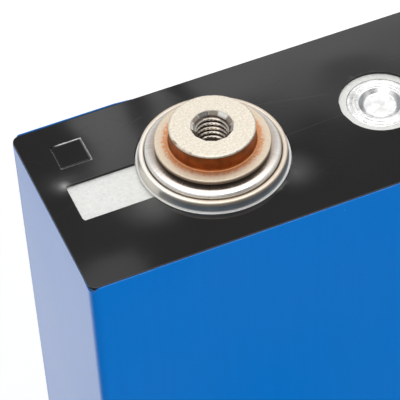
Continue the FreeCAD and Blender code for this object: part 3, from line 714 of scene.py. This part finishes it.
def keyhole(side, grow):
    """A round hole about a stud with an oblong window out towards the end of the lid, anticlockwise.
    Grow moves the whole outline outwards."""
    radius, half = STUD_HOLE + grow, WINDOW_HALF_WIDTH + grow
    corner = WINDOW_CORNER + grow
    end = WINDOW_END + grow - STUD_X
    meeting = math.asin(half / radius)
    angle = np.linspace(meeting, 2 * np.pi - meeting, 120)
    arc = radius * np.stack([np.cos(angle), np.sin(angle)], axis=-1)
    quarter = np.linspace(0, np.pi / 2, 9)[:, None]
    lower = np.hstack([end - corner + corner * np.sin(quarter), -half + corner - corner * np.cos(quarter)])
    upper = lower[::-1] * (1, -1)
    share = np.linspace(0, 1, 17)[1:-1, None]
    run_out = arc[-1] * (1 - share) + lower[0] * share
    across = lower[-1] * (1 - share[::2]) + upper[0] * share[::2]
    run_back = upper[-1] * (1 - share) + arc[0] * share
    loop = np.concatenate([arc, run_out, lower, across, upper, run_back])
    return (loop + (STUD_X, 0)) if side > 0 else (-loop + (-STUD_X, 0))


def sheet_outlines(inset):
    """The sheet's outer edge and its holes, each moved by inset into the sheet."""
    return [
        oblong(0, 0, SHEET_HALF_LENGTH - inset, SHEET_HALF_WIDTH - inset, SHEET_CORNER - inset, (156, 38)),
        keyhole(-1, inset), keyhole(1, inset),
        circle(VENT_X, 0, VENT_HOLE + inset, 96), circle(FILL_X, 0, FILL_HOLE + inset, 64),
        oblong(SQUARE_X, SQUARE_Y, SQUARE_HALF + inset, SQUARE_HALF + inset, SQUARE_CORNER + inset,
               SQUARE_RUNS),
    ]


def hump(place, x, y, height, width):
    """A smooth bump: height * exp(-distance squared / (2 * width squared))."""
    return height * np.exp(-((place[..., 0] - x) ** 2 + (place[..., 1] - y) ** 2) / (2 * width ** 2))


def sheet_rise(place):
    """How far the sheet stands above its nominal level: small lifts at the cuts, a dip by the vent, and
    slow waves, all dying out towards the outer edge."""
    x, y = place[..., 0], place[..., 1]
    from_edge = [np.clip((half - np.abs(axis)) / 2.0, 0, 1)
                 for half, axis in ((SHEET_HALF_WIDTH, y), (SHEET_HALF_LENGTH, x))]
    lifts = hump(place, -61.0, 4.4, 0.03, 1.6) + hump(place, -48.6, -5.0, 0.04, 2.0)
    lifts += hump(place, -27.0, -8.6, 0.06, 2.0) + hump(place, 61.2, -4.6, 0.06, 1.6)
    dip = hump(place, -9.6, 5.0, -0.035, 4.2)
    waves = 0.006 * np.sin(0.31 * x + 0.9) * np.sin(0.42 * y + 0.35 * np.sin(0.2 * x))
    return from_edge[0] * from_edge[1] * (lifts + dip + waves)


def in_sheet(x, y):
    """True where a point lies on the sheet, by distance from each outline's own formula."""
    holes = (np.hypot(x - VENT_X, y) < VENT_HOLE) | (np.hypot(x - FILL_X, y) < FILL_HOLE)
    holes |= np.hypot(np.abs(x) - STUD_X, y) < STUD_HOLE
    holes |= (np.abs(y) < WINDOW_HALF_WIDTH) & (np.abs(x) > STUD_X) & (np.abs(x) < WINDOW_END)
    holes |= (np.abs(x - SQUARE_X) < SQUARE_HALF) & (np.abs(y - SQUARE_Y) < SQUARE_HALF)
    return ~holes


def cut_sheet(outlines, inside, rise, bottom, top, step):
    """A thin flat piece with rounded upper edges. Each outline is a function of inset: its wall climbs
    from the bottom, turns over by a quarter round, and joins a triangulated face of evenly spaced
    points. The underside is the same face turned over."""
    halfway = 0.29 * EDGE_ROUND
    rows = [(EDGE_ROUND + EDGE_MARGIN, bottom), (0.0, bottom), (0.0, top - EDGE_ROUND),
            (halfway, top - halfway), (EDGE_ROUND, top), (EDGE_ROUND + EDGE_MARGIN, top)]
    loops = [outlines(inset) for inset, _ in rows]
    points, faces, edges, lower, upper = [], [], [], [], []
    start = at = 0
    for index, outline in enumerate(loops[0]):
        count = len(outline)
        column = np.arange(count)
        points += [np.c_[loop[index], np.full(count, level)] for loop, (_, level) in zip(loops, rows)]
        quads = np.array(grid_faces(len(rows), count))
        faces += ((quads if index == 0 else quads[:, ::-1]) + start).tolist()
        edges += np.stack([at + column, at + (column + 1) % count], axis=1).tolist()
        lower.append(start + column)
        upper.append(start + (len(rows) - 1) * count + column)
        start += len(rows) * count
        at += count
    points, lower, upper = map(np.concatenate, (points, lower, upper))
    border = points[upper, :2]
    low, high = border.min(axis=0), border.max(axis=0)
    x, y = np.meshgrid(*(np.arange(low[axis] + step / 2, high[axis], step) for axis in (0, 1)))
    x = x + (np.arange(len(x)) % 2)[:, None] * step / 2
    grid = np.c_[x.ravel(), y.ravel()]
    near = np.hypot(*(grid[:, None] - border).transpose(2, 0, 1)).min(axis=1)
    grid = grid[(near > 0.45 * step) & inside(*grid.T)]
    flat = np.concatenate([border, grid])
    found = delaunay_2d_cdt([Vector(place) for place in flat.tolist()], edges, [], 1, 1e-6)
    triangles = np.array(found[2])
    source = np.array([origin[0] for origin in found[3]])
    middle = np.array(found[0])[triangles].mean(axis=1)
    triangles = source[triangles[inside(*middle.T)]]
    extra = len(points) + np.arange(len(grid))
    faces += np.r_[upper, extra][triangles].tolist()
    faces += np.r_[lower, extra + len(grid)][triangles[:, ::-1]].tolist()
    points = np.r_[points, np.c_[grid, np.full(len(grid), top)], np.c_[grid, np.full(len(grid), bottom)]]
    points[:, 2] += rise(points)
    return points, faces


# Hairlines: fine straight scratches in one direction over a face, broken up so that each is short.
HAIRLINE_STRETCH = 30.0
hairline_group, given = new_group("hairlines", {"Spacing": 0.001, "Angle": 0.0}, ["Mask"])
turned_place = add_node(hairline_group, "ShaderNodeVectorRotate", {"rotation_type": "Z_AXIS"},
                        {"Vector": object_place(hairline_group), "Angle": given["Angle"]}).outputs[0]
streaked = vector_maths("MULTIPLY", turned_place, (1.0 / HAIRLINE_STRETCH, 1.0, 1.0))[0]
per_metre = maths("DIVIDE", 1.0, given["Spacing"])
lines = spread(noise(streaked, per_metre, 1.0), 0.66, 0.74)
patches = noise(turned_place, times(per_metre, 0.12))
give(hairline_group, times(lines, spread(patches, 0.45, 0.6)))

# Dust: small pale specks scattered over a face, at most one to each cell of the given size.
dust_group, given = new_group("dust", {"Cell": 0.003, "Speck": 0.03}, ["Mask"])
per_cell = maths("DIVIDE", 1.0, given["Cell"])
cells = add_node(dust_group, "ShaderNodeTexVoronoi", None,
                 {"Vector": object_place(dust_group), "Scale": per_cell})
chance = add_node(dust_group, "ShaderNodeSeparateColor", None, {0: cells.outputs["Color"]}).outputs[0]
size = times(given["Speck"], chance)
give(dust_group, maths("LESS_THAN", cells.outputs["Distance"], size))


def glow(place, x, y, size):
    """1 at a point on the sheet, falling to 0 at a distance of size from it, as the square of what is
    left of that distance."""
    away = vector_maths("DISTANCE", place, (x * MM, y * MM, SHEET_TOP * MM))["Value"]
    near = spread_mm(away, size, 0.0)
    return times(near, near)


glossy_black, tree, shader = new_material("glossy_black_sheet", 0.1, Specular_IOR_Level=0.4)
place = object_place(tree)
at = split(place)
fine, slow = add_grain(tree, 0.0005, blotch=0.02)
one_way = use_group(tree, hairline_group, Spacing=0.0005, Angle=0.62)[0]
other_way = use_group(tree, hairline_group, Spacing=0.0007, Angle=-0.35)[0]
scratches = maths("MAXIMUM", one_way, other_way)
specks = use_group(tree, dust_group, Cell=0.004, Speck=0.022)[0]
colour = blend_colours(slow, (0.0115, 0.0108, 0.0108), (0.0165, 0.0158, 0.0158))
colour = paint(colour, (0.06, 0.06, 0.06), scratches, 0.06)
colour = paint(colour, (0.20, 0.20, 0.19), specks, 0.4)

# The cut round the loose square shows as a thin painted highlight on its edges: bright behind, less so
# on the right, and faint in front.
off = split(vector_maths("SUBTRACT", place, (SQUARE_X * MM, SQUARE_Y * MM, 0.0))[0])
reach = maths("MAXIMUM", maths("ABSOLUTE", off["X"]), maths("ABSOLUTE", off["Y"]))
cut = band(reach, SQUARE_HALF - 0.03, SQUARE_HALF + 0.09, 0.03)
edge_glint = times(spread_mm(off["Y"], 2.2, 2.5), spread_mm(off["X"], -2.0, -1.0))
edge_glint = maths("MAXIMUM", edge_glint, spread_mm(off["X"], 2.2, 2.5, 0.0, 0.7))
edge_glint = maths("MAXIMUM", edge_glint, spread_mm(off["Y"], -2.2, -2.5, 0.0, 0.3))
colour = paint(colour, (0.85, 0.84, 0.82), cut, edge_glint, spread(fine, 0.3, 0.5, 0.5, 1.0))

# Two faint creases run from the collar towards the vent.
for slope, level, left, right in ((0.232, 1.72, -26.0, -15.0), (-0.044, 0.4, -23.5, -14.5)):
    offset = plus(at["Y"], times(at["X"], slope))
    crease = band(offset, level - 0.06, level + 0.06, 0.15)
    colour = paint(colour, (0.055, 0.053, 0.052), crease, band(at["X"], left, right, 2.0), 0.22)

# Stress haze where the sheet is lifted, at the window's corner and on both sides of the collar.
haze = 0.0
for x, y, size, strength in ((-60.9, 4.1, 2.8, 1.0), (-62.2, 4.9, 4.5, 0.3), (-49.4, -4.6, 8.0, 1.0),
                             (-26.5, -8.6, 6.0, 0.6)):
    haze = plus(haze, times(glow(place, x, y, size), strength))
whitened = plus(glow(place, -60.8, 4.1, 1.5), times(haze, 0.2))
colour = paint(colour, (0.30, 0.30, 0.29), whitened)
upright = maths("ABSOLUTE", split(face_normal(tree))["Z"])
rough = plus(spread(slow, 0.3, 0.7, 0.05, 0.08), times(scratches, 0.02),
             times(haze, 0.45), spread_mm(at["X"], -36, -18, 0.0, 0.015),
             spread(upright, 0.4, 0.1, 0.0, 0.6))
height = maths("SUBTRACT", slow, times(scratches, 0.02))
finish_surface(shader, colour, rough, height, 0.00002)

points, faces = cut_sheet(sheet_outlines, in_sheet, sheet_rise, LID_TOP, SHEET_TOP, SHEET_STEP)
new_piece("black_top_sheet", points, faces, glossy_black, "black_sheet", "top_sheet")


def everywhere(x, y):
    """True at every point: the outline has no holes and is convex."""
    return np.full(x.shape, True)


def square_outline(inset):
    half = SQUARE_HALF - SQUARE_GAP - inset
    return [oblong(SQUARE_X, SQUARE_Y, half, half, SQUARE_CORNER, SQUARE_RUNS)]


def square_rise(points):
    """The loose square lies a little askew: it drops towards its front left corner."""
    return -0.02 + 0.008 * (points[:, 0] - SQUARE_X) + 0.006 * (points[:, 1] - SQUARE_Y)


points, faces = cut_sheet(square_outline, everywhere, square_rise, LID_TOP + 0.04, SHEET_TOP, SHEET_STEP)
new_piece("loose_square", points, faces, glossy_black, "black_sheet", "sheet_square")


# ---- film ------------------------------------------------
# Blue polyester film, glossy, wrapped round the can and stuck to it, with its ends overlapping on one
# narrow side. Its upper edge is tucked under the top sheet or flush with it, except for a short run at
# the back that stands proud. A plain piece of the same film covers the underside.
FILM_HALF_LENGTH = 65.0
FILM_HALF_WIDTH = 18.0
FILM_CORNER = 1.6
FILM_THICKNESS = 0.25
FILM_LOW = 0.25
FILM_HIGH = 193.5
FILM_LAP = 0.08
LAP_HALF = 5.0
TUCKED = 0.55
FLUSH = 0.14
NARROW_SIDE = 63.6
BACK_DROP = 0.45
BACK_STANDS_TO = -46.0
CORNER_DROP = 0.5


def film_outline(inset):
    return oblong(0, 0, FILM_HALF_LENGTH - inset, FILM_HALF_WIDTH - inset, FILM_CORNER - inset,
                  (60, 16), steps=14)


def film_wave(x, y, height):
    """How far the outer face lies inside its nominal plane: slow ripples, and a step beside the overlap."""
    ripple = 0.012 * (1 + np.sin(0.11 * (x + y) + 0.05 * height) * np.sin(0.037 * height + 0.13 * x))
    ripple *= np.clip((FILM_HIGH - height) / 6.0, 0, 1)
    lap = FILM_LAP * np.clip((np.abs(y) - LAP_HALF) / 0.15, 0, 1) * np.clip((x - 60.0) / 4.9, 0, 1)
    return ripple + lap


def film_drop(x, y):
    """How far the film's upper edge lies below its highest level. It tucks under the sheet on the narrow
    sides, further still at the two front corners. It lies flush along the front, and along the back it
    stands up at the left end only."""
    narrow = np.clip((np.abs(x) - NARROW_SIDE) / 0.6, 0, 1)
    back = BACK_DROP * np.clip((x - BACK_STANDS_TO) / 3.0, 0, 1)
    side = np.where(y > 0, back, FLUSH)
    front_corner = CORNER_DROP * np.clip((np.abs(x) - FILM_HALF_LENGTH + 1.0) / 0.3, 0, 1) * (y < -16.2)
    return side + (TUCKED - side) * narrow + front_corner


outer_levels = np.r_[FILM_LOW, np.linspace(FILM_LOW + 0.5, FILM_HIGH - 0.6, 70), FILM_HIGH - 0.17]
round_top = np.array([(0.0, -0.12), (0.016, -0.074), (0.06, -0.03), (0.11, 0.0), (0.2, 0.0), (0.235, -0.015)])
inner_face = [(FILM_THICKNESS, level) for level in (FILM_HIGH - 0.05, FILM_HIGH - 1.0, FILM_LOW)]
section = np.r_[np.c_[np.zeros(len(outer_levels)), outer_levels], round_top + (0, FILM_HIGH), inner_face]
outward = film_outline(0.0) - film_outline(1.0)
rows = []
for inset, level in section:
    loop = film_outline(inset)
    if inset < FILM_THICKNESS:
        away = film_wave(loop[:, 0], loop[:, 1], level) * (1 - inset / FILM_THICKNESS)
        loop = loop - outward * away[:, None]
    share = np.clip((level - FILM_HIGH + 2.0) / 1.4, 0, 1)
    rows.append(np.c_[loop, level - share * film_drop(loop[:, 0], loop[:, 1])])
points = np.concatenate(rows)
faces = grid_faces(len(section), len(rows[0]), wrap_rows=True)

blue_film, tree, shader = new_material("glossy_blue_film", 0.16, Specular_IOR_Level=0.42)
fine, slow = add_grain(tree, 0.0012, (1.0, 1.0, 30.0), 0.03)
specks = use_group(tree, dust_group, Cell=0.007, Speck=0.016)[0]
colour = blend_colours(spread(fine, 0.2, 0.8), (0.0, 0.154, 0.550), (0.0, 0.163, 0.575))
colour = paint(colour, (0.25, 0.45, 0.75), specks, 0.4)
rough = spread(slow, 0.3, 0.7, 0.12, 0.2)
finish_surface(shader, colour, rough, plus(slow, times(fine, 0.06)), 0.00012)
new_piece("wrapped_film", points, faces, blue_film, "blue_film", "side_film", crease=50.0)


def base_outline(inset):
    return [film_outline(inset)]


def base_rise(points):
    return 0.0


points, faces = cut_sheet(base_outline, everywhere, base_rise, 0.0, FILM_LOW, 6.0)
new_piece("base_film", points, faces, blue_film, "blue_film", "bottom_film")


# ---- floor and light -------------------------------------
# A plain white table under a large overhead softbox, a soft fill in front, and a dark flag behind with
# a row of small lamps in front of it, which the black sheet mirrors.
WHITE = (1.0, 1.0, 1.0, 1.0)


def flat_panel(name, x, y, z, width, depth, material):
    """A level panel, given in metres."""
    mesh = bpy.data.meshes.new(name)
    half = np.array([(-1, -1, 0), (1, -1, 0), (1, 1, 0), (-1, 1, 0)]) * (width / 2, depth / 2, 1)
    mesh.from_pydata((half + (x, y, z)).tolist(), [], [(0, 1, 2, 3)])
    mesh.materials.append(material)
    panel = bpy.data.objects.new(name, mesh)
    bpy.context.scene.collection.objects.link(panel)
    return panel


pale, tree, shader = new_material("pale_table", 0.7, Emission_Color=WHITE, Emission_Strength=0.3)
slow = add_grain(tree, 0.002, blotch=0.3)[1]
colour = blend_colours(slow, (0.93, 0.93, 0.93), (0.95, 0.95, 0.95))
tree.links.new(colour, shader.inputs["Base Color"])
floor = flat_panel("floor", 0, 0, 0, 14.0, 14.0, pale)
floor.visible_glossy = False

black = new_material("black_cloth", 1.0, Base_Color=(0.01, 0.01, 0.01, 1.0), Specular_IOR_Level=0.0,
                     Emission_Color=WHITE, Emission_Strength=0.22)[0]
flag = flat_panel("dark_flag", 0.2, 0.64, 0.9, 0.62, 0.30, black)
flag.visible_camera = flag.visible_diffuse = flag.visible_shadow = False


def softbox(name, place, target, width, depth, radiance, mirrored=True):
    """A rectangular lamp. Its power is radiance * pi * area."""
    lamp = bpy.data.lights.new(name, "AREA")
    lamp.shape = "RECTANGLE"
    lamp.size = width
    lamp.size_y = depth
    lamp.energy = radiance * math.pi * width * depth
    holder = bpy.data.objects.new(name, lamp)
    aim = (Vector(target) - Vector(place)).to_track_quat("-Z", "Y").to_matrix().to_4x4()
    holder.matrix_world = Matrix.Translation(place) @ aim
    bpy.context.scene.collection.objects.link(holder)
    holder.visible_camera = False
    holder.visible_glossy = mirrored


STRIP_HEIGHT = 0.893
softbox("overhead", (0.0, 0.11, 1.25), (0.0, 0.11, 0.0), 1.2, 1.22, 1.75)
softbox("front_fill", (0.35, -1.8, 0.8), (0.0, 0.0, 0.1), 1.2, 1.2, 2.9, mirrored=False)
for name, left, right, near, far, radiance in (
        ("strip_left", 0.146, 0.182, 0.625, 0.78, 1.85),
        ("strip_middle", 0.199, 0.212, 0.625, 0.78, 1.75),
        ("strip_right", 0.226, 0.50, 0.66, 0.78, 1.65),
        ("strip_soft", 0.226, 0.50, 0.625, 0.66, 0.7),
        ("strip_corner", 0.08, 0.143, 0.50, 0.570, 1.05)):
    x, y = (left + right) / 2, (near + far) / 2
    softbox(name, (x, y, STRIP_HEIGHT), (x, y, 0.0), right - left, far - near, radiance)

# The room is white to the camera and evenly dim to matt faces. What glossy faces mirror of it is bright
# above, with a dark gap between the overhead and the front lamp, and below the horizon it is bright
# only behind, most of all to the left.
world = bpy.data.worlds.new("studio")
bpy.context.scene.world = world
world.use_nodes = True
tree = world.node_tree
tree.nodes.clear()
direction = add_node(tree, "ShaderNodeTexCoord").outputs["Generated"]
heading = split(direction)
to_back = spread(heading["Y"], -0.1, 0.4)
to_left = spread(heading["X"], 0.05, -0.2)
upward = spread(heading["Z"], -0.12, 0.12)
to_gap = vector_maths("DOT_PRODUCT", direction, (0.25, -0.73, 0.63))["Value"]
above = maths("SUBTRACT", 0.85, spread(to_gap, 0.88, 0.94, 0.0, 0.8))
below = times(to_back, spread(to_left, 0.0, 1.0, 0.3, 1.15))
mirrored = plus(times(below, maths("SUBTRACT", 1.0, upward)), times(upward, above))
path = add_node(tree, "ShaderNodeLightPath").outputs
level = add_node(tree, "ShaderNodeMix", None, {0: path["Is Diffuse Ray"], 2: mirrored, 3: 0.3}).outputs[0]
level = add_node(tree, "ShaderNodeMix", None, {0: path["Is Camera Ray"], 2: level, 3: 1.0}).outputs[0]
background = add_node(tree, "ShaderNodeBackground", None, {"Color": WHITE, "Strength": level})
add_node(tree, "ShaderNodeOutputWorld", None, {"Surface": background.outputs[0]})


# ---- camera ----------------------------------------------
# A long lens, above and to the left of the front, close on the negative stud.
AZIMUTH = math.radians(-21.45)
ELEVATION = math.radians(47.3)
ROLL = math.radians(-2.76)
level_right = Vector((math.cos(AZIMUTH), math.sin(AZIMUTH), 0.0))
backward = Vector((math.sin(AZIMUTH) * math.cos(ELEVATION), -math.cos(AZIMUTH) * math.cos(ELEVATION),
                   math.sin(ELEVATION)))
level_up = backward.cross(level_right)
right = level_right * math.cos(ROLL) + level_up * math.sin(ROLL)
up = backward.cross(right)
lens = bpy.data.cameras.new("camera")
lens.lens = 190.0
lens.sensor_width = 36.0
camera = bpy.data.objects.new("camera", lens)
turned = Matrix((right, up, backward)).transposed().to_4x4()
camera.matrix_world = Matrix.Translation((-0.12465, -0.21664, 0.43663)) @ turned
bpy.context.scene.collection.objects.link(camera)
bpy.context.scene.camera = camera
bpy.context.scene.view_settings.view_transform = "Standard"
